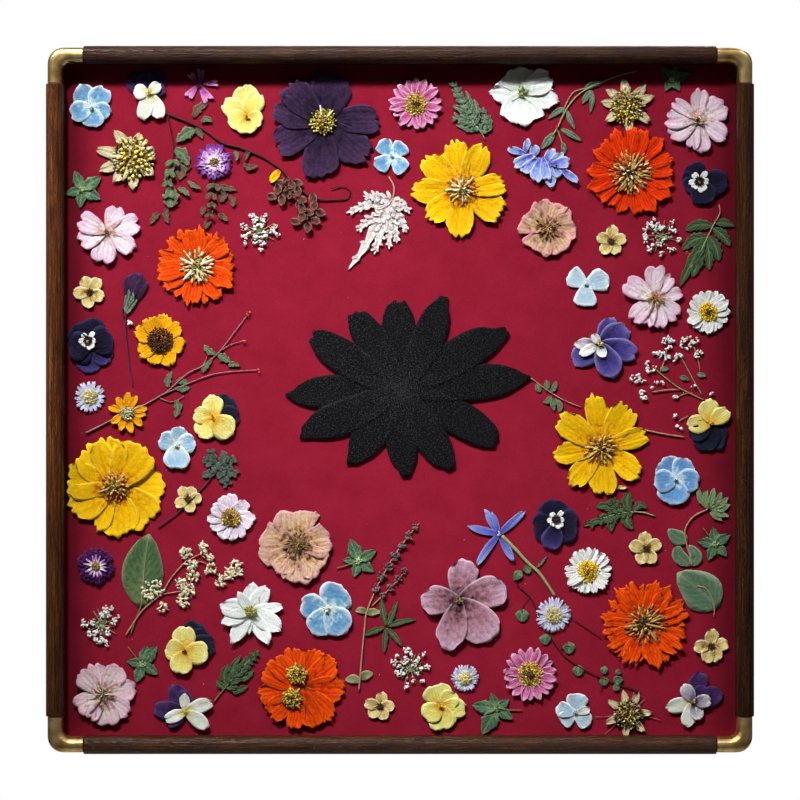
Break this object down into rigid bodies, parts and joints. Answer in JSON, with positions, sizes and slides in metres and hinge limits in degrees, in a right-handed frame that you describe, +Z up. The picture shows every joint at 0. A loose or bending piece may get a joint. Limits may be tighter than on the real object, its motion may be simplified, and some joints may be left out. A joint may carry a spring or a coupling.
{
  "type": "pressed flower frame",
  "caption": "Square wooden wall frame with rounded brass corners, holding pressed flowers and leaves on a recessed red board around a black glitter ornament.",
  "frame": {"origin": "middle of the flat back face of the top rail, where the frame meets the wall", "axes": "+Y into the wall, +Z up, +X to the right as the flowers are seen; the flowers face -Y"},
  "size_m": [0.4, 0.02, 0.4001],
  "materials": {
    "walnut": "satin",
    "brass": "polished",
    "red_paper": "matte",
    "greyboard": "matte",
    "plated_steel": "satin",
    "black_glitter": "glittered",
    "petals_white": "matte",
    "petals_yellow": "matte",
    "petals_orange": "matte",
    "petals_blue": "matte",
    "petals_pink": "matte",
    "petals_dark": "matte",
    "petals_tan": "matte",
    "leaf_green": "matte"
  },
  "bodies": {
    "root": {"rail_top": "walnut", "rail_right": "walnut", "rail_bottom": "walnut", "rail_left": "walnut", "corner_top_right": "brass", "corner_bottom_right": "brass", "corner_bottom_left": "brass", "corner_top_left": "brass", "mounting_board": "red_paper", "back_board": "greyboard", "hanger": "plated_steel", "ornament": "black_glitter", "oval_leaf": "leaf_green", "divided_leaf_silver": "petals_white", "divided_leaf_right": "leaf_green", "divided_leaf_top_right": "leaf_green", "hydrangea_blue_small": "petals_blue", "hydrangea_blue_large": "petals_blue", "hydrangea_pale_left": "petals_blue", "hydrangea_sky": "petals_blue", "hydrangea_mauve": "petals_pink", "viola_cream": "petals_white", "viola_purple_left": "petals_white", "viola_purple_right": "petals_white", "viola_purple_large": "petals_dark", "viola_navy_left": "petals_dark", "viola_navy_middle": "petals_dark", "viola_navy_top_right": "petals_dark", "viola_yellow_bottom": "petals_yellow", "viola_yellow_navy_left": "petals_yellow", "viola_yellow_navy_bottom": "petals_yellow", "viola_yellow_navy_right": "petals_yellow", "pansy_yellow": "petals_yellow", "cosmos_black": "petals_dark", "cosmos_yellow_top": "petals_yellow", "cosmos_yellow_left": "petals_yellow", "cosmos_yellow_right": "petals_yellow", "cosmos_orange_left": "petals_orange", "cosmos_orange_bottom": "petals_orange", "cosmos_orange_right": "petals_orange", "cosmos_red_top": "petals_orange", "coreopsis_orange": "petals_orange", "daisy_pink_top": "petals_pink", "daisy_pink_bottom": "petals_pink", "daisy_pale_pink": "petals_pink", "daisy_white_bottom": "petals_white", "daisy_white_right": "petals_white", "blossom_pink_left": "petals_pink", "blossom_pink_right": "petals_pink", "blossom_pink_bottom": "petals_pink", "blossom_pink_top_right": "petals_pink", "larkspur_white_top": "petals_white", "larkspur_white_bottom": "petals_white", "ruffled_blossom_peach": "petals_tan", "ruffled_blossom_pink": "petals_tan", "chamomile_dried_left": "petals_yellow"}
  },
  "joints": []
}
